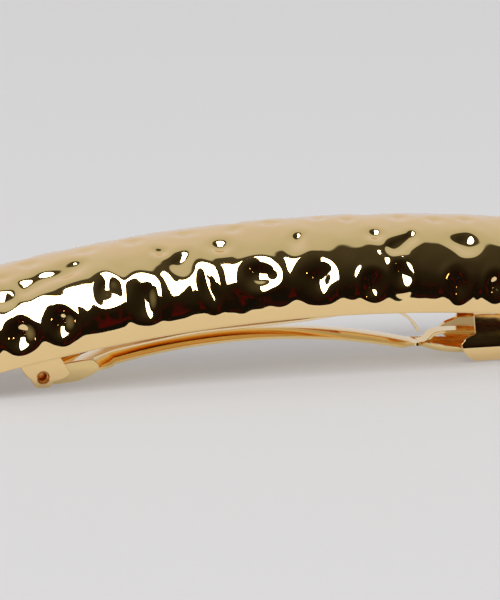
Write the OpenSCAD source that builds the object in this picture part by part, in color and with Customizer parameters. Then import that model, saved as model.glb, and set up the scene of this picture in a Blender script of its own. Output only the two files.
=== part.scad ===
// Hammered barrette with an automatic clip: a hollow arched cover, a base plate with hinge ears,
// a swinging clamp arm, a bow spring and a clasp with two spring wings.
// X runs along the clip (hinge at -X, clasp at +X), Y across it, Z up. The clip stands on z = 0.

/* [Cover] */
// Overall length of the cover
cover_len = 81.4; // [76:0.2:90]
// Radius of the cover's round cross-section
cover_r = 9.2; // [9:0.1:10]
// Thickness of the cover's wall
cover_wall = 1; // [0.6:0.1:1.4]
// Height of the straight rim below the round section
cover_rim = 0.6; // [0.3:0.1:1]
// Radius of the long arch, measured to the rim
arch_r = 192; // [188:1:220]
// Height of the rim above the table at the arch's highest point
arch_top = 7.85; // [7.7:0.05:9]
// Distance from the middle of the cover to the arch's highest point
arch_shift = 9.2; // [8:0.1:10]

/* [Base plate] */
// Width of the base plate, outside the hinge ears
base_w = 8; // [7.8:0.1:9]
// Thickness of the base plate
base_t = 0.8; // [0.6:0.1:1]
// Thickness of the hinge ears
ear_t = 0.5; // [0.4:0.05:0.6]
// Length of each cross bridge, along the clip
bridge_len = 7; // [5:0.5:8]
// Thickness of each cross bridge
bridge_t = 1; // [0.8:0.1:1.4]
// Distance of each cross bridge from the middle of the cover
bridge_x = 17; // [14:0.5:19]
// Radius of a rivet's shank
rivet_r = 0.8; // [0.6:0.1:1]

/* [Hinge] */
// Distance of the hinge pin from the middle of the cover
pin_x = -26; // [-27:0.1:-25]
// Height of the hinge pin above the table
pin_z = 1.25; // [1.2:0.01:1.3]
// Outer radius of the tubular hinge pin
pin_r = 0.7; // [0.6:0.01:0.75]
// Bore radius of the hinge pin
pin_bore_r = 0.5; // [0.3:0.01:0.5]

/* [Clamp arm] */
// Radius of the arm's long arch, measured to its crown
arm_arch_r = 77; // [76:0.5:79]
// Height of the arm's crown above the table in the middle
arm_top = 4.75; // [4.6:0.05:4.8]
// Width of the arm
arm_w = 5.5; // [5:0.1:5.8]
// Thickness of the arm's sheet
arm_t = 0.35; // [0.3:0.05:0.4]
// Radius of the arm's arched cross-section
arm_sec_r = 8; // [7:0.1:9]

/* [Bow spring] */
// Width of the bow spring
bow_w = 2.8; // [2.2:0.1:4]
// Width of the finger at its free end
finger_w = 1.4; // [1.2:0.1:2.2]
// Thickness of the bow spring's sheet
bow_t = 0.3; // [0.2:0.05:0.3]

/* [Clasp] */
// Distance of the clasp from the middle of the cover
clasp_x = 28.3; // [28:0.1:28.6]
// Width of a wing's stem, along the clip
stem_w = 4.3; // [4:0.1:5]
// Length of a wing's finger pad, along the clip
pad_len = 8.4; // [7.6:0.1:9]
// Thickness of the clasp's sheet
clasp_t = 0.45; // [0.3:0.05:0.5]

/* [Hidden] */
$fn = 96;

cut = 1;                                    // how far a cutter runs past what it cuts
arch_z = arch_top - arch_r;                 // height of the cover arch's centre
dome_r = arch_r + cover_rim;                // arch radius through the centres of the end domes
dome_x = cover_len / 2 - cover_r;           // distance of each dome's centre from the middle
hinge_end_a = asin((-dome_x - arch_shift) / dome_r);
clasp_end_a = asin((dome_x - arch_shift) / dome_r);
cover_in_r = cover_r - cover_wall;
seam = 0.02;                                // how much smaller an end dome is than the arched tube
seam_run = 0.5;                             // how far a dome runs into the tube that it closes

base_x0 = -28.9;                            // hinge end of the base plate
base_x1 = 31.2;                             // clasp end of the base plate
ear_y = base_w / 2;                         // side edge of the base plate, over the ears
ear_inset = 0.02;                           // the ears' outer faces stand this far inside that edge
pin_gap = 0.05;                             // clearance of what turns on the pin
pin_half = ear_y - 0.35;                    // half the pin's length: its ends lie inside the ears
cheek_y = ear_y - ear_t - 0.32;             // outer face of the arm's hinge cheeks
cheek_t = 0.4;                              // thickness of those cheeks
eye_r = 1.1;                                // outer radius of what is rolled round the pin

arm_z = arm_top - arm_arch_r;               // height of the arm arch's centre
arm_x0 = -17.6;                             // where the arched strip starts
arm_x1 = 20.4;                              // where it ends, at the neck
arm_depth = 2;                              // more than the arched section's sag and thickness
arm_taper_x = 17.6;                         // where the strip starts to narrow
neck_x = 19.4;                              // where it is down to the neck's width
neck_w = 3.4;                               // width of the arm at its neck
tip_w = 5.2;                                // width of the arm's tip
tip_lift = 1.2;                             // height of the cutter that clears the tip's open top
tongue_w = 2.2;                             // width of the tongue in the arm's tip
finger_x = 16;                              // where the bow spring starts to narrow to its finger
finger_taper = 1.5;                         // length of that narrowing
taper_end = 22;                             // the cutters that narrow the arm and the bow end here

bridge_half_a = asin(bridge_len / 2 / arch_r);
clasp_a = asin((clasp_x - arch_shift) / arch_r);
web_gap = 0.02;                             // the flat web meets the arched plate at its ends only
head_gap = 0.01;                            // a flat rivet head stands this far off the arched bridge
head_h = 0.5;                               // height of a rivet head
head_r = 1.5;                               // its radius where it sits on a bridge
head_end_r = 1;                             // the radius of a head's outer end
clasp_head_r = 1.4;                         // radius of the clasp rivet's heads
under_head_h = 0.4;                         // height of the clasp rivet's lower head
lobe_r = 1.4;                               // round lobe of an ear, about the pin
lobe_a = asin(pin_z / lobe_r);              // where the lobe meets its flat foot

frame_y = 3.75;                             // outer edge of the clasp frame's web
web_z = arch_z + arch_r * cos(clasp_a) - clasp_t / 2;
web_low = arch_r - web_gap - clasp_t;       // the web's underside, from the arch's centre
lip_z = 5.7;                                // lower edge of its bent lips
lip_top = [0.05, -0.3];                     // a lip's top corners, over web_z, inside the sloping web
wing_top = 5.6;                             // top edge of the wings
shoulder_z = 3.6;                           // where a wing's stem starts to widen
pad_z = 2.3;                                // height of the middle of a wing's pad
pad_round = 3.3;                            // length of the rounded end of a pad

// Angle of a place on an arch: its distance from the arch's highest point over the radius
function arch_angle(x, centre_x, radius) = asin((x - centre_x) / radius);

// A smooth path through a few points: three cubic steps between each pair of neighbours
function spline_point(p, i, t) =
    let (n = len(p) - 1, a = p[max(i - 1, 0)], b = p[i], c = p[i + 1], d = p[min(i + 2, n)])
    0.5 * (2 * b + (c - a) * t + (2 * a - 5 * b + 4 * c - d) * pow(t, 2)
           + (3 * b - a - 3 * c + d) * pow(t, 3));
function smooth(p, steps = 4) =
    concat([for (i = [0:len(p) - 2], s = [0:steps - 1]) spline_point(p, i, s / steps)], [p[len(p) - 1]]);

// Outline of a sheet of thickness t whose middle follows the path p
function unit(v) = v / norm(v);
function normal_at(p, i) =
    let (d = unit(p[min(i + 1, len(p) - 1)] - p[max(i - 1, 0)])) [-d[1], d[0]];
function sheet(p, t) =
    concat([for (i = [0:len(p) - 1]) p[i] + normal_at(p, i) * t / 2],
           [for (i = [len(p) - 1:-1:0]) p[i] - normal_at(p, i) * t / 2]);

// Quarter of an ellipse from angle a0 to a1
function ellipse_arc(cx, cy, rx, ry, a0, a1, steps = 10) =
    [for (i = [0:steps]) let (a = a0 + (a1 - a0) * i / steps) [cx + rx * cos(a), cy + ry * sin(a)]];

// Stand a drawing of the side view (X, Z) up and give it a width in Y, centred on y
module side(width, y = 0)
    translate([0, y + width / 2, 0]) rotate([90, 0, 0]) linear_extrude(width) children();

// Revolve a cross-section (distance from the centre, Y) about an arch's centre, from angle a0 to a1
module along_arch(centre_x, centre_z, a0, a1)
    translate([centre_x, 0, centre_z]) rotate([90, 0, 0]) rotate([0, 0, 90 - a1])
        rotate_extrude(angle = a1 - a0) children();

// Put a part drawn at the arch's centre on the cover's arch, at angle a
module on_cover_arch(a) translate([arch_shift, 0, arch_z]) rotate([0, a, 0]) children();

module half_disc(r) {
    intersection() {
        translate([dome_r, 0]) circle(r);
        translate([dome_r, -r - cut]) square([r + cut, 2 * (r + cut)]);
    }
    translate([arch_r, -r]) square([cover_rim, 2 * r]);
}

// A quarter ball over a half round skirt, from the plane x = start outwards
module dome(r, skirt, start) intersection() {
    union() {
        sphere(r);
        translate([0, 0, -skirt]) cylinder(h = skirt, r = r);
    }
    translate([start, -r - cut, -skirt]) cube([r + cut - start, 2 * (r + cut), r + skirt + cut]);
}

// A dome closing one end of the cover, a hair smaller than the arched tube that it runs into
module cover_end(a, turn)
    on_cover_arch(a) translate([0, 0, dome_r]) rotate([0, 0, turn]) difference() {
        dome(cover_r - seam, cover_rim - seam, -seam_run);
        dome(cover_in_r - seam, cover_rim + cut, -seam_run - cut);
    }

module cover_shell() color("gold") {
    along_arch(arch_shift, arch_z, hinge_end_a, clasp_end_a) difference() {
        half_disc(cover_r);
        half_disc(cover_in_r);
    }
    cover_end(hinge_end_a, 180);
    cover_end(clasp_end_a, 0);
}

function rivet_angle(s) = asin((s * bridge_x - arch_shift) / arch_r);

module bridge(s) color("goldenrod") difference() {
    along_arch(arch_shift, arch_z, rivet_angle(s) - bridge_half_a, rivet_angle(s) + bridge_half_a)
        intersection() {
            half_disc(cover_in_r);
            translate([arch_r + base_t, -cover_r]) square([bridge_t, 2 * cover_r]);
        }
    rivet_hole(rivet_angle(s));
}

module bridge_hinge() bridge(-1);
module bridge_clasp() bridge(1);

// The hole for a rivet, through the base plate and a bridge
module rivet_hole(a) on_cover_arch(a) translate([0, 0, arch_r - cut])
    cylinder(h = base_t + bridge_t + 2 * cut, r = rivet_r);

// A rivet flush with the base plate's underside, with a round head above the bridge
module rivet(s) color("goldenrod") on_cover_arch(rivet_angle(s)) translate([0, 0, arch_r]) {
    cylinder(h = base_t + bridge_t + head_gap, r = rivet_r);
    translate([0, 0, base_t + bridge_t + head_gap]) cylinder(h = head_h, r1 = head_r, r2 = head_end_r);
}

module rivet_hinge() rivet(-1);
module rivet_clasp() rivet(1);

// An ear in side view: a lobe with a flat foot, and a shoulder on each side
ear_outline = concat(
    [[pin_x - 2.9, 4.8], [pin_x - 2.6, 2.4], [pin_x - 1.9, 1.4]],
    ellipse_arc(pin_x, pin_z, lobe_r, lobe_r, 190, 180 + lobe_a, 6),
    ellipse_arc(pin_x, pin_z, lobe_r, lobe_r, 360 - lobe_a, 335, 4),
    [[pin_x + 1.8, 0.7], [pin_x + 2.7, 1.05], [pin_x + 3.3, 1.55], [pin_x + 2.05, 3.6], [pin_x + 1.7, 5.3]]);

module ear(y) side(ear_t, y) difference() {
    polygon(ear_outline);
    translate([pin_x, pin_z]) circle(pin_r + 0.01);
}

module base_plate() color("gold") {
    difference() {
        along_arch(arch_shift, arch_z, arch_angle(base_x0, arch_shift, arch_r),
                   arch_angle(base_x1, arch_shift, arch_r))
            translate([arch_r, -base_w / 2]) square([base_t, base_w]);
        rivet_hole(rivet_angle(-1));
        rivet_hole(rivet_angle(1));
        rivet_hole(clasp_a);
    }
    for (s = [-1, 1]) ear(s * (ear_y - ear_inset - ear_t / 2));
}

module hinge_pin() color("goldenrod") translate([pin_x, pin_half, pin_z]) rotate([90, 0, 0]) difference() {
    cylinder(h = 2 * pin_half, r = pin_r);
    translate([0, 0, -cut]) cylinder(h = 2 * (ear_y + cut), r = pin_bore_r);
}

// The clasp's web under the base plate, with a bent lip on each side
module clasp_frame() color("gold") {
    on_cover_arch(clasp_a) difference() {
        translate([-stem_w / 2, -frame_y, web_low]) cube([stem_w, 2 * frame_y, clasp_t]);
        translate([0, 0, web_low - cut]) cylinder(h = clasp_t + 2 * cut, r = rivet_r);
    }
    for (s = [-1, 1]) side(clasp_t, s * (frame_y - clasp_t / 2 - ear_inset)) polygon(
        [[clasp_x - stem_w / 2 + ear_inset, lip_z], [clasp_x + stem_w / 2 - ear_inset, lip_z],
         [clasp_x + stem_w / 2 - ear_inset, web_z + lip_top[1]],
         [clasp_x - stem_w / 2 + ear_inset, web_z + lip_top[0]]]);
}

module clasp_rivet() color("goldenrod") on_cover_arch(clasp_a) {
    translate([0, 0, web_low]) cylinder(h = base_t + clasp_t + web_gap, r = rivet_r);
    translate([0, 0, arch_r + base_t]) cylinder(h = head_h, r1 = clasp_head_r, r2 = head_end_r);
    translate([0, 0, web_low - under_head_h]) cylinder(h = under_head_h, r1 = head_end_r, r2 = clasp_head_r);
}

// A wing in end view: down from the frame, out to a crest, and curled in under the arm's tip
wing_path = smooth([[-3.5, wing_top], [-3.75, 4.7], [-4.08, 3.7], [-4.48, 2.8], [-4.72, 2.2], [-4.78, 1.7],
                    [-4.6, 0.9], [-4.1, 0.34], [-3.3, 0.36]]);
// The same wing in side view: a stem and a pad with round ends
wing_side = concat(
    [[clasp_x - stem_w / 2, wing_top + cut], [clasp_x - stem_w / 2, shoulder_z],
     [clasp_x - pad_len / 2 + 0.3, pad_z + 0.45]],
    ellipse_arc(clasp_x - pad_len / 2 + pad_round, pad_z, pad_round, pad_z + 0.02, 180, 270),
    ellipse_arc(clasp_x + pad_len / 2 - pad_round, pad_z, pad_round, pad_z + 0.02, 270, 360),
    [[clasp_x + pad_len / 2 - 0.3, pad_z + 0.45], [clasp_x + stem_w / 2, shoulder_z],
     [clasp_x + stem_w / 2, wing_top + cut]]);

module wing(s) color("gold") intersection() {
    translate([clasp_x - pad_len / 2 - cut, 0, 0]) rotate([90, 0, 90])
        linear_extrude(pad_len + 2 * cut) polygon([for (p = sheet(wing_path, clasp_t)) [-s * p[0], p[1]]]);
    side(2 * cover_r) polygon(wing_side);
}

module wing_front() wing(-1);
module wing_rear() wing(1);

// The arm's hinge cheek: round about the pin, running out to a rounded corner
module cheek(y) side(cheek_t, y) difference() {
    union() {
        translate([pin_x, pin_z]) circle(eye_r);
        polygon([[pin_x, pin_z - eye_r], [pin_x + 2.6, 0.15], [pin_x + 4.6, 0.45], [pin_x + 6.6, 1.45],
                 [pin_x + 6.8, 2], [pin_x + 6.3, 2.7], [pin_x + 5.5, 2.9], [pin_x, pin_z + eye_r]]);
    }
    translate([pin_x, pin_z]) circle(pin_r + pin_gap);
}

// The floor of the arm's hinge end, with a rolled lip, rising to meet the arched strip
web_path = smooth([[-23.3, 0.3], [-21.6, 0.6], [-20.2, 1.2], [-18.8, 1.75], [-17, 2.35]]);

// The arm's tip: a small open boat that the wings flank
tip_bottom = smooth([[19.4, 1.7], [20.4, 1.6], [21.8, 1.2], [24.2, 0.85], [27, 0.75], [30, 0.95],
                     [31.6, 1.6]]);
tip_top = [[31.6, 2.2], [30, 1.7], [27, 1.5], [24.2, 1.6], [21.8, 2], [19.4, 2.35]];
// A tongue inside the tip, raised from the neck
tongue_path = smooth([[19.9, 1.95], [20.6, 1.9], [21.2, 2.15], [21.8, 2.75], [22.6, 3.05],
                      [24.5, 3.1], [27, 2.95], [29, 2.75]]);
function tip_plan(inset) = let (w = tip_w / 2 - inset, n = neck_w / 2 - inset) concat(
    [[neck_x + inset, -n], [20.6, -n], [22.6, -w], [30.4, -w]],
    ellipse_arc(30.4, 0, 1.2 - inset, w, -80, 80, 8),
    [[30.4, w], [22.6, w], [20.6, n], [neck_x + inset, n]]);

module tip_block(inset, lift) intersection() {
    translate([0, 0, lift]) side(2 * cover_r) polygon(concat(tip_bottom, tip_top));
    linear_extrude(cover_r) polygon(tip_plan(inset));
}

module arm_tip() difference() {
    tip_block(0, 0);
    for (lift = [arm_t, tip_lift]) tip_block(arm_t, lift);
}

// The arched strip, narrowed to the neck at its clasp end
module arm_strip() difference() {
    along_arch(0, arm_z, arch_angle(arm_x0, 0, arm_arch_r), arch_angle(arm_x1, 0, arm_arch_r))
        intersection() {
            difference() {
                translate([arm_arch_r - arm_sec_r, 0]) circle(arm_sec_r);
                translate([arm_arch_r - arm_sec_r, 0]) circle(arm_sec_r - arm_t);
            }
            translate([arm_arch_r - arm_depth, -arm_w / 2]) square([arm_depth + cut, arm_w]);
        }
    for (s = [-1, 1]) linear_extrude(cover_r)
        polygon([[arm_taper_x, s * arm_w], [arm_taper_x, s * arm_w / 2], [neck_x, s * neck_w / 2],
                 [taper_end, s * neck_w / 2], [taper_end, s * arm_w]]);
}

module clamp_arm() color("gold") {
    for (s = [-1, 1]) cheek(s * (cheek_y - cheek_t / 2));
    side(2 * cheek_y) polygon(sheet(web_path, arm_t));
    arm_strip();
    arm_tip();
    side(tongue_w) polygon(sheet(tongue_path, arm_t));
}

// The bow spring's middle line: from under its eye round the pin, over the arm, to the finger at the neck
bow_path = smooth([[-25.6, 0.42], [-24, 0.95], [-22, 1.65], [-20.5, 2.2], [-18.4, 2.88], [-16.7, 3.4],
                   [-12, 4.2], [-7, 4.9], [0, 5.3], [6, 5.65], [11, 6.15], [14.5, 6.3], [17.4, 5.9],
                   [19.2, 4.75], [20.2, 3.3]]);

module bow_spring() color("khaki") {
    difference() {
        side(bow_w) polygon(sheet(bow_path, bow_t));
        for (s = [-1, 1]) linear_extrude(cover_r)
            polygon([[finger_x, s * bow_w], [finger_x, s * bow_w / 2],
                     [finger_x + finger_taper, s * finger_w / 2], [taper_end, s * finger_w / 2],
                     [taper_end, s * bow_w]]);
    }
    side(bow_w) difference() {
        translate([pin_x, pin_z]) circle(eye_r);
        translate([pin_x, pin_z]) circle(pin_r + pin_gap);
    }
}

cover_shell();
bridge_hinge();
bridge_clasp();
base_plate();
rivet_hinge();
rivet_clasp();
hinge_pin();
clasp_frame();
clasp_rivet();
wing_front();
wing_rear();
clamp_arm();
bow_spring();
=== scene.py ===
"""A gold hammered barrette on an automatic clip, standing on a pale table in soft studio light.

Everything is drawn in millimetres in the shared frame (hinge at -X, clasp at +X, Z up from the table)
and turned into metres where a mesh is made.
"""

import math

import bpy
import numpy as np
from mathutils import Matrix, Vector, noise


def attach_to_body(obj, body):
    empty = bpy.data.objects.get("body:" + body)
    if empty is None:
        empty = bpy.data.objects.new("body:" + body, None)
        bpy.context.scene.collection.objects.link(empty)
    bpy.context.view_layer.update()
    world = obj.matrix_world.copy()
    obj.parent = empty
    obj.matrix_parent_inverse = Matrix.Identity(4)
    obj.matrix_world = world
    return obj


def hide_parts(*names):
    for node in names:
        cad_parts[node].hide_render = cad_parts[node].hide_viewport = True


MM = 0.001

# The cover: a half round section along a shallow arch, closed by a dome at each end
COVER_R = 9.2
COVER_WALL = 1.0
COVER_RIM = 0.6                             # height of the straight rim below the round section
ARCH_R = 192.0                              # of the rim's arch
ARCH_TOP = 7.85                             # height of the rim where the arch is highest
ARCH_SHIFT = 9.2                            # and that place along X
ARCH_Z = ARCH_TOP - ARCH_R                  # height of the arch's centre
DOME_R = ARCH_R + COVER_RIM                 # of the arch through the centres of the end domes
DOME_X = 31.5                               # distance of each dome's centre from the middle

# The clip
BASE_W = 8.0
BASE_T = 0.8
BASE_X = (-28.9, 31.2)                      # ends of the base plate
EAR_T = 0.5
EAR_Y = BASE_W / 2 - 0.02 - EAR_T / 2       # the middle of an ear's thickness
LOBE_R = 1.4                                # round lobe of an ear, about the pin
PIN_X = -26.0
PIN_Z = 1.25
PIN_R = 0.7
PIN_BORE_R = 0.5
PIN_HALF = BASE_W / 2 - 0.35                # half the pin's length: its ends lie inside the ears
CHEEK_R = 1.1                               # round end of the arm's cheeks, about the pin
CHEEK_Y = 3.18                              # outer face of the cheeks
CHEEK_T = 0.4
ARM_ARCH_R = 77.0                           # of the arm's long arch
ARM_TOP = 4.75                              # height of its crown in the middle
ARM_W = 5.5
ARM_T = 0.35
ARM_SECTION_R = 8.0                         # of the arm's arched cross-section
NECK_W = 3.4
TIP_W = 5.2
TONGUE_W = 2.2
BOW_W = 2.8
FINGER_W = 1.4
BOW_T = 0.3
BOW_EYE_R = 0.92                            # middle of the strip where it is rolled round the pin
CLASP_X = 28.3
CLASP_T = 0.45
WEB_GAP = 0.02                              # the flat web meets the arched plate at its ends only
STEM_W = 4.3
SHOULDER_Z = 3.6                            # where a wing's stem starts to widen
BRIDGE_X = 17.0
BRIDGE_T = 1.0
RIVET_R = 0.8
HEAD_GAP = 0.01                             # a flat rivet head stands this far off the arched bridge
POINT = 0.001                               # radius given to the points on a lathe's axis

# The camera, in degrees and millimetres
VIEW_AZIMUTH, VIEW_ELEVATION = -13.5, 13.7
VIEW_DISTANCE = 520.0
VIEW_TARGET = (-0.34, 0, 8.13)


# ---- Geometry helpers ----

def smooth(points, steps=6):
    """A smooth path through a few points."""
    p = [np.array(q, float) for q in points]
    out = []
    for i in range(len(p) - 1):
        a, b, c, d = p[max(i - 1, 0)], p[i], p[i + 1], p[min(i + 2, len(p) - 1)]
        for k in range(steps):
            t = k / steps
            out.append(0.5 * (2 * b + (c - a) * t + (2 * a - 5 * b + 4 * c - d) * t**2
                              + (3 * b - a - 3 * c + d) * t**3))
    return out + [p[-1]]


def blend(a, b, x):
    """Goes softly from 0 at a to 1 at b."""
    t = min(1.0, max(0.0, (x - a) / (b - a)))
    return t * t * (3 - 2 * t)


def arch_angle(x):
    """Angle of a place x on the cover's arch, in radians."""
    return math.asin((x - ARCH_SHIFT) / ARCH_R)


def on_arch(angle, up, y=0.0):
    """A point at a height over the rim's arch, at that angle."""
    r = ARCH_R + up
    return (ARCH_SHIFT + r * math.sin(angle), y, ARCH_Z + r * math.cos(angle))


def quads(rows, cols, wrap=False):
    """Faces of a grid of vertices stored row by row; wrap joins the last column to the first."""
    last = cols if wrap else cols - 1
    return [(r * cols + c, r * cols + (c + 1) % cols, (r + 1) * cols + (c + 1) % cols, (r + 1) * cols + c)
            for r in range(rows - 1) for c in range(last)]


def mesh_object(name, verts, faces, material, sharp=40):
    """A smooth shaded mesh object from vertices in millimetres; edges over the sharp angle stay crisp."""
    mesh = bpy.data.meshes.new(name)
    mesh.from_pydata([(v[0] * MM, v[1] * MM, v[2] * MM) for v in verts], [], faces)
    return finished(name, mesh, material, sharp)


def finished(name, mesh, material, sharp=40):
    """Shades a mesh, gives it its material and puts it in the scene."""
    mesh.validate()
    mesh.shade_smooth()
    mesh.set_sharp_from_angle(angle=math.radians(sharp))
    mesh.materials.append(material)
    obj = bpy.data.objects.new(name, mesh)
    bpy.context.scene.collection.objects.link(obj)
    return obj


def thicken(obj, thickness, edge=0.07):
    """Gives a sheet its thickness about its middle, with softly rounded edges."""
    solid = obj.modifiers.new("thickness", "SOLIDIFY")
    solid.thickness = thickness * MM
    solid.offset = 0
    solid.use_even_offset = True
    soften(obj, edge)


def soften(obj, edge):
    """Rounds an object's sharp edges."""
    bevel = obj.modifiers.new("edges", "BEVEL")
    bevel.width = edge * MM
    bevel.segments = 2
    bevel.limit_method = "ANGLE"
    bevel.angle_limit = math.radians(45)
    bevel.harden_normals = True


def sheet(name, rows, thickness, material, edge=0.07):
    """A sheet through rows of points, all rows with the same number of points."""
    obj = mesh_object(name, [p for row in rows for p in row], quads(len(rows), len(rows[0])), material)
    thicken(obj, thickness, edge)
    return obj


def lathe(profile, steps=64):
    """Vertices and faces of a closed profile (radius, height) turned about its upright axis."""
    turns = np.linspace(0, 2 * math.pi, steps, endpoint=False)
    verts = [(r * math.cos(a), r * math.sin(a), h) for a in turns for r, h in profile]
    cols = len(profile)
    faces = [(i * cols + j, ((i + 1) % steps) * cols + j, ((i + 1) % steps) * cols + (j + 1) % cols,
              i * cols + (j + 1) % cols) for i in range(steps) for j in range(cols)]
    return verts, faces


def plate(name, outline, holes, y, thickness, edge, material):
    """A flat plate drawn in the side view (X, Z), with round holes and softened edges, centred on y."""
    curve = bpy.data.curves.new(name, "CURVE")
    curve.dimensions = "2D"
    curve.fill_mode = "BOTH"
    curve.extrude = thickness / 2 - edge
    curve.bevel_depth = edge
    curve.bevel_resolution = 2
    curve.offset = -edge
    turns = np.linspace(0, 2 * math.pi, 48, endpoint=False)
    rings = [[(cx + r * math.cos(a), cz + r * math.sin(a)) for a in turns] for cx, cz, r in holes]
    for loop in [outline, *rings]:
        spline = curve.splines.new("POLY")
        spline.points.add(len(loop) - 1)
        for point, (x, z) in zip(spline.points, loop):
            point.co = (x, z, 0, 1)
        spline.use_cyclic_u = True
    drawn = bpy.data.objects.new(name, curve)
    mesh = bpy.data.meshes.new_from_object(drawn)
    bpy.data.objects.remove(drawn)
    for v in mesh.vertices:
        x, z, depth = v.co
        v.co = (x * MM, (y - depth) * MM, z * MM)
    mesh.materials.clear()
    return finished(name, mesh, material)


def arc(cx, cz, rx, rz, a0, a1, steps):
    """Points on an ellipse from a0 to a1 degrees."""
    return [(cx + rx * math.cos(math.radians(a)), cz + rz * math.sin(math.radians(a)))
            for a in np.linspace(a0, a1, steps + 1)]


# ---- Materials ----

def new_material(name):
    """A material with its node tree and shader."""
    mat = bpy.data.materials.new(name)
    mat.use_nodes = True
    return mat, mat.node_tree, mat.node_tree.nodes["Principled BSDF"]


def add_noise(tree, vector, scale, detail=2.0):
    """A noise texture's value over a vector."""
    texture = tree.nodes.new("ShaderNodeTexNoise")
    texture.inputs["Scale"].default_value = scale
    texture.inputs["Detail"].default_value = detail
    tree.links.new(vector, texture.inputs["Vector"])
    return texture.outputs["Fac"]


def map_range(tree, value, low, high, out_low=0.0, out_high=1.0, kind="LINEAR"):
    """Stretches the range from low to high of a value to another range, and clamps it there."""
    node = tree.nodes.new("ShaderNodeMapRange")
    node.interpolation_type = kind
    node.inputs["From Min"].default_value = low
    node.inputs["From Max"].default_value = high
    node.inputs["To Min"].default_value = out_low
    node.inputs["To Max"].default_value = out_high
    tree.links.new(value, node.inputs["Value"])
    return node.outputs["Result"]


def mix_colours(tree, share, a, b):
    """A mix of two colours, each a colour or the output of a node."""
    mix = tree.nodes.new("ShaderNodeMix")
    mix.data_type = "RGBA"
    tree.links.new(share, mix.inputs["Factor"])
    for name, colour in (("A", a), ("B", b)):
        if isinstance(colour, tuple):
            mix.inputs[name].default_value = colour
        else:
            tree.links.new(colour, mix.inputs[name])
    return mix.outputs["Result"]


def ramp(tree, value, stops):
    """A colour ramp over a value; stops are (place, colour) pairs from the first to the last."""
    node = tree.nodes.new("ShaderNodeValToRGB")
    elements = node.color_ramp.elements
    for element, (at, colour) in ((elements[0], stops[0]), (elements[1], stops[-1])):
        element.position = at
        element.color = colour
    for at, colour in stops[1:-1]:
        elements.new(at).color = colour
    tree.links.new(value, node.inputs["Fac"])
    return node.outputs["Color"]


def gold(name, colour, roughness, spread, grain, bump, stretch=(1, 1, 1)):
    """Polished gold plate: its polish varies a little and its skin is very faintly uneven."""
    mat, tree, shader = new_material(name)
    shader.inputs["Metallic"].default_value = 1.0
    coordinates = tree.nodes.new("ShaderNodeTexCoord")
    scale = tree.nodes.new("ShaderNodeMapping")
    scale.inputs["Scale"].default_value = stretch
    tree.links.new(coordinates.outputs["Object"], scale.inputs["Vector"])

    clouds = add_noise(tree, scale.outputs["Vector"], grain, detail=4)
    polish = map_range(tree, clouds, 0.3, 0.7, roughness, roughness + spread)
    tree.links.new(polish, shader.inputs["Roughness"])
    warmer = (colour[0], colour[1] * 0.97, colour[2] * 0.93, 1)
    tree.links.new(mix_colours(tree, clouds, (*colour, 1), warmer), shader.inputs["Base Color"])

    uneven = tree.nodes.new("ShaderNodeBump")
    uneven.inputs["Strength"].default_value = 1.0
    uneven.inputs["Distance"].default_value = bump * MM
    tree.links.new(add_noise(tree, scale.outputs["Vector"], grain * 3), uneven.inputs["Height"])
    tree.links.new(uneven.outputs["Normal"], shader.inputs["Normal"])
    return mat


def table_paper():
    """Matt pale paper under the clip, with some light of its own for the bounce of a white room."""
    mat, tree, shader = new_material("table_paper")
    shader.inputs["Roughness"].default_value = 0.9
    shader.inputs["Specular IOR Level"].default_value = 0.1
    shader.inputs["Emission Color"].default_value = (1.0, 0.985, 0.99, 1)
    shader.inputs["Emission Strength"].default_value = 0.27
    coordinates = tree.nodes.new("ShaderNodeTexCoord")
    fibre = add_noise(tree, coordinates.outputs["Object"], 900)
    tint = mix_colours(tree, fibre, (0.415, 0.415, 0.42, 1), (0.43, 0.43, 0.435, 1))
    tree.links.new(tint, shader.inputs["Base Color"])
    return mat


def glow(name, colour, strength):
    """A plain glowing surface."""
    mat = bpy.data.materials.new(name)
    mat.use_nodes = True
    tree = mat.node_tree
    tree.nodes.clear()
    light = tree.nodes.new("ShaderNodeEmission")
    light.inputs["Color"].default_value = (*colour, 1)
    light.inputs["Strength"].default_value = strength
    out = tree.nodes.new("ShaderNodeOutputMaterial")
    tree.links.new(light.outputs["Emission"], out.inputs["Surface"])
    return mat


# ---- The hammered cover ----

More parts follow.
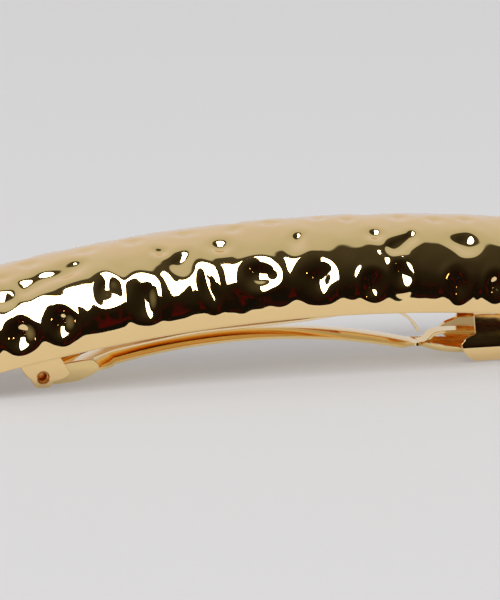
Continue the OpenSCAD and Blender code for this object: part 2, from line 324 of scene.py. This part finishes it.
# Punched pits: place along X, degrees round the section from the front rim, half length along X,
# half length round the section, slant in degrees, and depth. Most places are marks made by eye on the
# photo that a scratch script carried onto the cover through a fitted camera; the rest was set by hand.
PITS = [
    (-28.8, 20, 2.0, 2.3, 0, 0.5), (-24.1, 20, 1.9, 2.4, 0, 0.5), (-18.1, 40, 1.6, 2.2, 0, 0.4),
    (-14.3, 26, 1.8, 2.9, 0, 0.48), (-6.8, 28, 1.2, 3.2, 8, 0.3), (-0.9, 32, 2.3, 2.1, 0, 0.5),
    (5.9, 25, 2.4, 2.9, 0, 0.5), (12.3, 18, 1.5, 2.1, 0, 0.38), (15.8, 27, 1.4, 1.8, 0, 0.32),
    (22.4, 17, 1.5, 2.3, 0, 0.38), (27.0, 17, 1.3, 2.1, 0, 0.33),
    (-29.6, 49, 2.0, 1.8, 0, 0.38), (-11.3, 65, 1.2, 1.3, 0, 0.34), (-9.2, 50, 1.9, 2.4, -25, 0.44),
    (-4.6, 61, 1.8, 1.7, 0, 0.46), (4.4, 59, 1.5, 2.2, -25, 0.48), (13.4, 60, 1.5, 1.5, 0, 0.38),
    (23.8, 51, 2.7, 2.2, 0, 0.5),
    (-25.5, 82, 1.6, 1.4, 0, 0.24), (-13.6, 85, 1.8, 1.5, 0, 0.26), (-28.8, 72, 1.4, 1.2, 0, 0.17),
    (-19.0, 84, 1.9, 1.4, 0, 0.22), (-7.5, 84, 1.8, 1.4, 0, 0.22), (-2.0, 79, 1.5, 1.3, 0, 0.2),
    (2.2, 85, 1.8, 1.4, 0, 0.24), (7.7, 91, 1.6, 1.5, 0, 0.26), (10.9, 83, 1.4, 1.3, 0, 0.22),
    (17.1, 83, 1.7, 1.4, 0, 0.24), (21.0, 78, 1.6, 1.4, 0, 0.23), (24.8, 81, 1.4, 1.2, 0, 0.22),
]
# Long dents: the two ends (X, degrees), half width and depth
GROOVES = [((-28.3, 52), (-19.3, 67), 1.7, 0.46), ((14.4, 41), (18.6, 61), 1.35, 0.36)]
WARP = 0.42                                 # how far the dents' outlines wander
LOW_RING, HIGH_RING = 0.2, 0.08             # height of the ring round a dent, as a share of its depth
SEEN = (-34.0, 31.0)                        # the stretch whose front has its pits listed one by one
OUTER_STEPS = 177                           # points round the outer face of each section


def scattered_pits(rng):
    """Pits of the same kind over the rest of the cover, spaced apart."""
    pits = list(PITS)
    kept = []
    for _ in range(1500):
        x, phi = rng.uniform(-39.5, 39.5), rng.uniform(12, 168)
        size = rng.uniform(1.0, 2.2)
        depth = size * rng.uniform(0.12, 0.19)
        if SEEN[0] < x < SEEN[1] and phi < 100:
            continue
        gaps = [math.hypot(x - q[0], math.radians(phi - q[1]) * COVER_R) - 1.25 * (q[2] + size) for q in pits]
        if min(gaps) > 0:
            pit = (x, phi, size, size * rng.uniform(0.9, 1.3), 0, depth)
            pits.append(pit)
            kept.append(pit)
    return kept


def cover_station(x):
    """Centre of the section at x, and the directions along the cover and up from it."""
    a = math.asin(max(-DOME_X, min(DOME_X, x)) / DOME_R - ARCH_SHIFT / DOME_R)
    centre = np.array([ARCH_SHIFT + DOME_R * math.sin(a), 0, ARCH_Z + DOME_R * math.cos(a)])
    return centre, np.array([math.cos(a), 0, -math.sin(a)]), np.array([math.sin(a), 0, math.cos(a)])


def cover_spot(x, phi):
    """A place on the smooth cover, with its directions along and round the section."""
    centre, along, up = cover_station(x)
    side = np.array([0, 1.0, 0])
    c, s = math.cos(math.radians(phi)), math.sin(math.radians(phi))
    over = x - math.copysign(DOME_X, x) if abs(x) > DOME_X else 0.0
    tau = math.asin(max(-0.98, min(0.98, over / COVER_R)))
    outward = -c * side + s * up
    normal = along * math.sin(tau) + outward * math.cos(tau)
    forward = along * math.cos(tau) - outward * math.sin(tau)
    return centre + COVER_R * normal, forward, s * side + c * up


def press(height, points, spot, forward, around, half_x, half_y, slant, depth, ring):
    """Presses one pit into the height field, with a soft ring raised to a share of its depth."""
    d = points - spot
    near = np.abs(d).max(axis=1) < 2.6 * max(half_x, half_y)
    u, v = d[near] @ forward, d[near] @ around
    c, s = math.cos(math.radians(slant)), math.sin(math.radians(slant))
    rho = np.hypot((u * c + v * s) / half_x, (v * c - u * s) / half_y)
    height[near] += depth * (ring * np.exp(-((rho - 1.15) / 0.36) ** 2) - np.exp(-(rho / 0.6) ** 2.3))


def groove(height, points, start, end, half_w, depth):
    """Presses one long dent along a line on the cover."""
    first, last = cover_spot(*start)[0], cover_spot(*end)[0]
    length = np.linalg.norm(last - first)
    line = (last - first) / length
    middle, forward, around = cover_spot((start[0] + end[0]) / 2, (start[1] + end[1]) / 2)
    across = np.cross(np.cross(forward, around), line)
    across /= np.linalg.norm(across)
    d = points - first
    near = np.abs(points - middle).max(axis=1) < length
    u, v = d[near] @ line, d[near] @ across
    beyond = np.maximum(0, np.maximum(half_w - u, u - (length - half_w)))
    rho = np.hypot(beyond, v) / half_w
    height[near] += depth * (HIGH_RING * np.exp(-((rho - 1.2) / 0.38) ** 2) - np.exp(-(rho / 0.66) ** 2.4))


def waves(p, size, shift):
    """A smooth random value at a place, from -1 to 1, whose waves are about twice that size."""
    return noise.noise(p / size + Vector(shift), noise_basis="PERLIN_NEW")


def cover_heights(points):
    """How far each point of the outer face stands out of the smooth cover."""
    height = np.zeros(len(points))
    places = [Vector(p) for p in points]
    shifts = ((4.2, 8.1, 0.7), (13.4, 2.9, 6.3), (7.6, 15.2, 9.8))
    bent = points + WARP * np.array([[waves(p, 2.6, shift) for shift in shifts] for p in places])
    for x, phi, half_x, half_y, slant, depth in PITS + scattered_pits(np.random.default_rng(7)):
        ring = LOW_RING if phi < 45 else HIGH_RING
        press(height, bent, *cover_spot(x, phi), half_x, half_y, slant, depth, ring)
    for start, end, half_w, depth in GROOVES:
        groove(height, bent, start, end, half_w, depth)
    height += [0.09 * waves(p, 4.6, (3.1, 0.4, 1.7)) + 0.035 * waves(p, 2.1, (9.3, 2.2, 5.1)) for p in places]
    return height


def cover_section():
    """One closed section of the cover as (depth into the wall, degrees round it, drop below the arc's ends).

    The points of the outer face come first; their number is returned too.
    """
    lip = 0.3
    half = [(0.0, 0.0, z) for z in np.linspace(COVER_RIM - lip, 0, 4)[:-1]]
    section = half + [(0.0, p, 0.0) for p in np.linspace(0, 180, OUTER_STEPS)]
    section += [(0.0, 180.0, z) for _, _, z in half[::-1]]
    outer_count = len(section)
    turn = [(lip * (1 - math.cos(t)), COVER_RIM - lip * (1 - math.sin(t))) for t in np.radians((30, 60, 90))]
    edge = turn + [(COVER_WALL - 0.2, COVER_RIM), (COVER_WALL, COVER_RIM - 0.2)]
    section += [(w, 180.0, z) for w, z in edge]
    section += [(COVER_WALL, p, 0.0) for p in np.linspace(180, 0, 33)]
    section += [(w, 0.0, z) for w, z in edge[::-1]]
    return section, outer_count


def hammered_cover(material):
    """The hollow cover: outer face with its pits, rounded rim and smooth inner face, in one closed mesh."""
    section, outer_count = cover_section()
    turns = np.radians(np.linspace(0, 90, 64))[1:]
    stations = [(-DOME_X, -t) for t in turns[::-1]]
    stations += [(x, 0.0) for x in np.linspace(-DOME_X, DOME_X, 340)]
    stations += [(DOME_X, t) for t in turns]
    points, normals, outer = [], [], []
    side = np.array([0, 1.0, 0])
    for x, tau in stations:
        centre, along, up = cover_station(x)
        for k, (depth, phi, drop) in enumerate(section):
            c, s = math.cos(math.radians(phi)), math.sin(math.radians(phi))
            normal = along * math.sin(tau) + (-c * side + s * up) * math.cos(tau)
            points.append(centre + (COVER_R - depth) * normal - drop * up)
            normals.append(normal)
            outer.append(k < outer_count)
    points, normals, outer = np.array(points), np.array(normals), np.array(outer)

    # the dents fade to a quarter towards the rim
    above_rim = [COVER_RIM - drop + math.radians(min(phi, 180 - phi)) * COVER_R
                 for _, phi, drop in section[:outer_count]]
    fade = np.tile([0.25 + 0.75 * min(1.0, height / 1.6) for height in above_rim], len(stations))
    points[outer] += normals[outer] * (cover_heights(points[outer]) * fade)[:, None]
    faces = quads(len(stations), len(section), wrap=True)
    obj = mesh_object("hammered_cover", points, faces, material, sharp=60)
    weld = obj.modifiers.new("tips", "WELD")
    weld.merge_threshold = 0.002 * MM
    return obj


# ---- The clip ----

def base_plate(material):
    """The arched plate under the cover, with its two hinge ears."""
    xs = np.linspace(*BASE_X, 60)
    ys = np.linspace(-BASE_W / 2, BASE_W / 2, 9)
    rows = [[on_arch(arch_angle(x), BASE_T / 2, y) for y in ys] for x in xs]
    parts = [sheet("base_strip", rows, BASE_T, material, edge=0.12)]
    outline = ([(PIN_X - 2.9, 4.8), (PIN_X - 2.6, 2.4), (PIN_X - 1.9, 1.4)]
               + arc(PIN_X, PIN_Z, LOBE_R, LOBE_R, 190, 243, 6)
               + arc(PIN_X, PIN_Z, LOBE_R, LOBE_R, 297, 335, 4)
               + [(PIN_X + 1.8, 0.7), (PIN_X + 2.7, 1.05), (PIN_X + 3.3, 1.55), (PIN_X + 2.05, 3.6),
                  (PIN_X + 1.7, 5.3)])
    for name, y in (("ear_front", -EAR_Y), ("ear_rear", EAR_Y)):
        parts.append(plate(name, outline, [(PIN_X, PIN_Z, PIN_R + 0.02)], y, EAR_T, 0.09, material))
    return parts


def hinge_pin(material):
    """A tube with softly rounded ends."""
    end = [(PIN_BORE_R, 0.12), (PIN_BORE_R + 0.06, 0.03), (PIN_BORE_R + 0.14, 0), (PIN_R - 0.08, 0.02),
           (PIN_R, 0.1)]
    profile = [(r, inset - PIN_HALF) for r, inset in end] + [(r, PIN_HALF - inset) for r, inset in end[::-1]]
    verts, faces = lathe(profile, 48)
    return mesh_object("hinge_tube", [(PIN_X + x, z, PIN_Z + y) for x, y, z in verts], faces, material)


def rivet(name, x, levels, material):
    """A round headed rivet standing on the cover's arch; levels are (radius, height over the rim) pairs."""
    a = arch_angle(x)
    c, s = math.cos(a), math.sin(a)
    verts, faces = lathe(levels, 40)
    ox, _, oz = on_arch(a, 0.0)
    return mesh_object(name, [(ox + px * c + pz * s, py, oz - px * s + pz * c) for px, py, pz in verts],
                       faces, material)


def domed(radius, level, rise):
    """Profile of a domed head from its edge to its middle; a negative rise makes it hang."""
    turn = np.linspace(0, math.pi / 2, 7)
    return [(max(POINT, radius * math.cos(t)), level + rise * math.sin(t)) for t in turn]


def plate_rivet(name, x, material):
    """A rivet through the base plate and a bridge, with its head above."""
    top = BASE_T + BRIDGE_T + HEAD_GAP
    return rivet(name, x, [(POINT, 0.0), (RIVET_R, 0.0), (RIVET_R, top), *domed(1.45, top, 0.5)], material)


def frame_rivet(material):
    """The clasp's rivet, with a head above the base plate and one under the web."""
    low = -CLASP_T - WEB_GAP
    shank = [(RIVET_R, low), (RIVET_R, BASE_T)]
    levels = [*domed(1.35, low, -0.4)[::-1], *shank, *domed(1.35, BASE_T, 0.45)]
    return rivet("clasp_rivet_head", CLASP_X, levels, material)


def clasp_frame(material):
    """The bent web under the base plate that carries the wings."""
    a = arch_angle(CLASP_X)
    web_z = on_arch(a, -CLASP_T / 2 - WEB_GAP)[2]
    lip_y, lip_low, bend_r = 3.5, 5.72, 0.45
    bend = arc(bend_r - lip_y, web_z - bend_r, bend_r, bend_r, 180, 90, 5)
    path = [(-lip_y, lip_low), (-lip_y, lip_low + 0.4), *bend]
    path += [(y, web_z) for y in np.linspace(-2.4, 2.4, 9)] + [(-y, z) for y, z in path[::-1]]
    slope = math.tan(a)
    half = STEM_W / 2 - 0.02
    rows = [[(CLASP_X + x, y, z - slope * x * blend(lip_low + 0.5, web_z, z)) for y, z in path]
            for x in np.linspace(-half, half, 13)]
    return sheet("clasp_web", rows, CLASP_T, material, edge=0.08)


def wing_half_width(z):
    """Half the wing's width along X at a height: the stem, its shoulder and the pad with its round ends."""
    stem = STEM_W / 2
    shoulder, shoulder_low = 3.75, 2.9
    if z >= SHOULDER_Z:
        return stem
    if z >= shoulder_low:
        return stem + (shoulder - stem) * blend(SHOULDER_Z, 2.75, z)
    under = min(2.3, max(0.0, 2.5 - z)) / 2.34
    pad = 0.8 + 3.2 * math.sqrt(max(0.04, 1 - under**2))
    return pad - 0.45 * blend(2.35, shoulder_low, z)


def wing(name, side, material):
    """One clasp wing: a stem, a shoulder and a pad that curls in under the arm's tip."""
    path = smooth([(-3.5, 5.6), (-3.75, 4.7), (-4.08, 3.7), (-4.48, 2.8), (-4.72, 2.2), (-4.78, 1.7),
                   (-4.6, 0.9), (-4.1, 0.34), (-3.3, 0.36)])
    rows = []
    for y, z in path:
        half = wing_half_width(z)
        rows.append([(x, -side * y, z) for x in np.linspace(CLASP_X - half, CLASP_X + half, 17)])
    return sheet(name, rows, CLASP_T, material, edge=0.1)


def tip_section(floor_z, top_z, half):
    """Section of the arm's open tip: v from -1 to 1 runs down one wall, round, along the floor and up."""
    r = min(0.5, half * 0.6, (top_z - floor_z) * 0.6)
    flat, bend, wall = half - r, r * math.pi / 2, top_z - floor_z - r

    def at(v):
        d = abs(v) * (flat + bend + wall)
        if d <= flat:
            return math.copysign(d, v), floor_z
        if d <= flat + bend:
            t = (d - flat) / r
            return math.copysign(flat + r * math.sin(t), v), floor_z + r * (1 - math.cos(t))
        return math.copysign(half, v), floor_z + r + d - flat - bend
    return at


def height_at(path, x):
    """Height of a path of (X, Z) points at x."""
    return float(np.interp(x, [p[0] for p in path], [p[1] for p in path]))


def hinge_rows(vs):
    """Rows of the arm's hinge end: a rolled lip and a floor that rises to the arched strip."""
    path = smooth([(-22.6, 0.75), (-23.05, 0.78), (-23.3, 0.5), (-23.0, 0.3), (-21.6, 0.6), (-20.2, 1.2),
                   (-18.8, 1.75), (-17.6, 2.2)], 5)
    rows = []
    for x, z in path:
        half = CHEEK_Y - 0.15 - 0.28 * blend(-19.5, -17.6, x)
        sag = 0.47 * blend(-20.0, -17.6, x)
        rows.append([(x, v * half, z + 0.15 - v * v * sag) for v in vs])
    return rows


def strip_rows(vs):
    """Rows of the arched strip, its pinched neck and the open boat tip that it turns into."""
    floor = smooth([(19.4, 1.7), (20.4, 1.6), (21.8, 1.2), (24.2, 0.85), (27, 0.75), (30, 0.95), (31.6, 1.6)])
    walls = [(19.4, 2.35), (21.8, 2.0), (24.2, 1.6), (27, 1.5), (30, 1.7), (31.6, 2.2)]
    boat_x, round_x, round_len = 19.0, 29.8, 1.8
    centre = ARM_TOP - ARM_ARCH_R - ARM_T / 2
    rows = []
    for x in np.linspace(-17.2, 31.55, 150):
        half = ARM_W / 2 - (ARM_W - NECK_W) / 2 * blend(17.4, 19.5, x)
        low = centre + math.sqrt(ARM_ARCH_R**2 - x * x) - ARM_SECTION_R
        row = [(v * half, low + math.sqrt(ARM_SECTION_R**2 - (v * half) ** 2)) for v in vs]
        if x > boat_x:
            share = blend(boat_x, 21.2, x)
            boat_half = NECK_W / 2 + (TIP_W - NECK_W) / 2 * blend(20.4, 22.8, x) - ARM_T / 2
            if x > round_x:
                boat_half *= math.sqrt(max(0.01, 1 - ((x - round_x) / round_len) ** 2))
            at = tip_section(height_at(floor, x) + ARM_T / 2, height_at(walls, x), max(0.35, boat_half))
            row = [(y + (at(v)[0] - y) * share, z + (at(v)[1] - z) * share) for v, (y, z) in zip(vs, row)]
        rows.append([(x, y, z) for y, z in row])
    return rows


def arm_tongue(material):
    """The tongue inside the arm's tip, raised from the neck."""
    path = smooth([(20.2, 1.92), (20.7, 1.92), (21.2, 2.15), (21.8, 2.75), (22.6, 3.05), (24.5, 3.1),
                   (27, 2.95), (29, 2.75)])
    rows = [[(x, y, z) for y in np.linspace(-TONGUE_W / 2, TONGUE_W / 2, 9)] for x, z in path]
    return sheet("arm_tongue", rows, ARM_T, material, edge=0.08)


def arm_cheek(name, side, material):
    """A hinge cheek: round about the pin, running out to a rounded corner, and leaning out at its top."""
    outline = smooth(arc(PIN_X, PIN_Z, CHEEK_R, CHEEK_R, 95, 265, 10)
                     + [(PIN_X + 1.2, 0.12), (PIN_X + 2.6, 0.18), (PIN_X + 4.6, 0.45), (PIN_X + 6.5, 1.35),
                        (PIN_X + 6.8, 1.9), (PIN_X + 6.35, 2.7), (PIN_X + 5.5, 2.93), (PIN_X + 2.4, 2.6)], 3)
    cheek = plate(name, [tuple(p) for p in outline], [(PIN_X, PIN_Z, PIN_R + 0.05)],
                  side * (CHEEK_Y - CHEEK_T / 2), CHEEK_T, 0.09, material)
    for v in cheek.data.vertices:
        v.co.y += side * 0.09 * (v.co.z - PIN_Z * MM)
    return cheek


def clamp_arm(material):
    """The arm: one bent sheet from the rolled lip at its hinge to its tip, with a tongue and two cheeks."""
    vs = np.linspace(-1, 1, 35)
    return [sheet("arm_sheet", hinge_rows(vs) + strip_rows(vs), ARM_T, material, edge=0.08),
            arm_tongue(material),
            arm_cheek("arm_cheek_front", -1, material),
            arm_cheek("arm_cheek_rear", 1, material)]


def bow_spring(material):
    """A thin strip rolled round the pin, bowed over the arm, with a finger down to the arm's neck."""
    eye = arc(PIN_X, PIN_Z, BOW_EYE_R, BOW_EYE_R, -335, -70, 26)
    run = smooth([(-25.3, 0.5), (-24, 0.95), (-22, 1.65), (-20.5, 2.2), (-18.4, 2.88), (-16.7, 3.4),
                  (-12, 4.2), (-7, 4.9), (0, 5.3), (6, 5.65), (11, 6.15), (14.5, 6.3), (17.4, 5.9),
                  (19.2, 4.75), (20.2, 3.3)])
    rows = []
    for x, z in eye + run:
        half = BOW_W / 2 - (BOW_W - FINGER_W) / 2 * blend(15.8, 17.6, x)
        rows.append([(x, y, z) for y in np.linspace(-half, half, 9)])
    return sheet("bow_strip", rows, BOW_T, material, edge=0.05)


# ---- Stage ----

def card(name, size, centre, target, material):
    """A flat rectangular card that faces a target, in metres."""
    w, h = size[0] / 2, size[1] / 2
    mesh = bpy.data.meshes.new(name)
    mesh.from_pydata([(-w, -h, 0), (w, -h, 0), (w, h, 0), (-w, h, 0)], [], [(0, 1, 2, 3)])
    mesh.materials.append(material)
    obj = bpy.data.objects.new(name, mesh)
    bpy.context.scene.collection.objects.link(obj)
    obj.location = centre
    obj.rotation_mode = "QUATERNION"
    obj.rotation_quaternion = (Vector(target) - Vector(centre)).to_track_quat("Z", "Y")
    return obj


def dark_room(tree, direction, height):
    """The room in front: nearly black low down, with patches of dark red, and dull olive high up."""
    black, white = (0, 0, 0, 1), (1, 1, 1, 1)
    dark = ramp(tree, height, [(0, (0.005, 0.006, 0.006, 1)), (0.3, (0.009, 0.006, 0.004, 1)),
                               (0.6, (0.02, 0.016, 0.01, 1)), (1, (0.062, 0.056, 0.038, 1))])
    patches = map_range(tree, add_noise(tree, direction, 5.0), 0.5, 0.62)
    low = ramp(tree, height, [(0, black), (0.18, white), (0.45, black)])
    share = tree.nodes.new("ShaderNodeMath")
    share.operation = "MULTIPLY"
    tree.links.new(patches, share.inputs[0])
    tree.links.new(low, share.inputs[1])
    return mix_colours(tree, share.outputs["Value"], dark, (0.06, 0.004, 0.005, 1))


def studio_world():
    """A dark room in front of the clip and a bright backdrop behind and above it."""
    world = bpy.data.worlds.new("studio")
    bpy.context.scene.world = world
    world.use_nodes = True
    tree = world.node_tree
    tree.nodes.clear()
    direction = tree.nodes.new("ShaderNodeTexCoord").outputs["Generated"]
    split = tree.nodes.new("ShaderNodeSeparateXYZ")
    tree.links.new(direction, split.inputs["Vector"])

    # the dark part lies in front of a plane that leans a few degrees back from the zenith
    front = tree.nodes.new("ShaderNodeVectorMath")
    front.operation = "DOT_PRODUCT"
    lean = math.radians(84.5)
    front.inputs[1].default_value = (0, -math.sin(lean), -math.cos(lean))
    tree.links.new(direction, front.inputs[0])
    share = map_range(tree, front.outputs["Value"], -0.03, 0.03, kind="SMOOTHSTEP")

    # the left side of the room is lighter
    left = map_range(tree, split.outputs["X"], -0.5, -0.75)
    room = mix_colours(tree, left, dark_room(tree, direction, split.outputs["Z"]), (0.2, 0.19, 0.13, 1))

    # the backdrop is yellower over the clip and paler low behind it
    back = map_range(tree, front.outputs["Value"], 0.0, -0.9)
    drop = mix_colours(tree, back, (0.5, 0.52, 0.46, 1), (0.68, 0.67, 0.76, 1))

    sky = tree.nodes.new("ShaderNodeBackground")
    tree.links.new(mix_colours(tree, share, drop, room), sky.inputs["Color"])
    out = tree.nodes.new("ShaderNodeOutputWorld")
    tree.links.new(sky.outputs["Background"], out.inputs["Surface"])


def towards(azimuth_x, pitch, distance):
    """A point in front of the clip, pitch degrees over the table; azimuth_x is its share towards +X."""
    p = math.radians(pitch)
    flat = math.sqrt(1 - azimuth_x**2)
    return (azimuth_x * distance, -math.cos(p) * flat * distance, math.sin(p) * flat * distance)


def add_camera():
    """A long lens at the photograph's angle."""
    data = bpy.data.cameras.new("camera")
    data.lens = 264.4
    data.sensor_width = 36.0
    data.clip_start, data.clip_end = 0.05, 20.0
    cam = bpy.data.objects.new("camera", data)
    bpy.context.scene.collection.objects.link(cam)
    a, e = math.radians(VIEW_AZIMUTH), math.radians(VIEW_ELEVATION)
    back = Vector((math.sin(a) * math.cos(e), -math.cos(a) * math.cos(e), math.sin(e)))
    cam.location = (Vector(VIEW_TARGET) + back * VIEW_DISTANCE) * MM
    cam.rotation_mode = "QUATERNION"
    cam.rotation_quaternion = (-back).to_track_quat("-Z", "Y")
    bpy.context.scene.camera = cam


def stage():
    """Table, softbox, surroundings and camera."""
    card("table", (8.0, 8.0), (0, 0, 0), (0, 0, 1), table_paper())
    soft = glow("softbox_light", (1.0, 0.98, 0.96), 8.5)
    card("softbox", (1.06, 1.48), towards(-0.1, 56.8, 2.2), (0, 0, 0), soft)
    warm = glow("lamp_light", (1.0, 0.72, 0.35), 12.0)
    for name, x, pitch in (("lamp_left", -0.5, 24), ("lamp_right", 0.62, 30), ("lamp_low", -0.3, 9)):
        card(name, (0.02, 0.02), towards(x, pitch, 1.0), (0, 0, 0), warm)
    studio_world()
    add_camera()
    bpy.context.scene.view_settings.view_transform = "Standard"
    bpy.context.scene.cycles.glossy_bounces = 10


# ---- Putting it together ----

def attach(parts, body, node):
    """Ties finished pieces to their CAD body and hides the CAD node they stand in for."""
    for piece in parts if isinstance(parts, list) else [parts]:
        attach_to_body(piece, body)
        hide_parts(node)


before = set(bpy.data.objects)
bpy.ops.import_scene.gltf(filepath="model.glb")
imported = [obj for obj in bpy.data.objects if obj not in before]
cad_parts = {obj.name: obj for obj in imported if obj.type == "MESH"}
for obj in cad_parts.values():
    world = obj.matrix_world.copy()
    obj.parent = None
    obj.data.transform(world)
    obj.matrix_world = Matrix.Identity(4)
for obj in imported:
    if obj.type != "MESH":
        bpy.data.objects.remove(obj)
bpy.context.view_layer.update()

hammered = gold("hammered_gold", (0.97, 0.72, 0.36), 0.02, 0.03, 400, 0.001)
clip = gold("clip_gold", (0.97, 0.73, 0.37), 0.06, 0.05, 500, 0.004)
drawn = gold("arm_gold", (0.97, 0.76, 0.37), 0.08, 0.06, 300, 0.004, stretch=(0.15, 3, 3))
pale = gold("spring_gold", (0.97, 0.8, 0.5), 0.08, 0.05, 400, 0.004, stretch=(0.2, 2, 2))
satin = gold("rivet_gold", (0.90, 0.62, 0.30), 0.16, 0.1, 600, 0.006)

attach(hammered_cover(hammered), "ornament", "cover_shell")
attach(base_plate(clip), "ornament", "base_plate")
attach(plate_rivet("rivet_hinge_head", -BRIDGE_X, satin), "ornament", "rivet_hinge")
attach(plate_rivet("rivet_clasp_head", BRIDGE_X, satin), "ornament", "rivet_clasp")
attach(hinge_pin(satin), "ornament", "hinge_pin")
attach(clasp_frame(clip), "ornament", "clasp_frame")
attach(frame_rivet(satin), "ornament", "clasp_rivet")
attach(wing("front_wing_sheet", -1, clip), "front_wing", "wing_front")
attach(wing("rear_wing_sheet", 1, clip), "rear_wing", "wing_rear")
attach(clamp_arm(drawn), "arm", "clamp_arm")
attach(bow_spring(pale), "bow", "bow_spring")
for node in ("bridge_hinge", "bridge_clasp"):
    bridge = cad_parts[node]
    bridge.data.materials.clear()
    bridge.data.materials.append(clip)
    soften(bridge, 0.08)
stage()
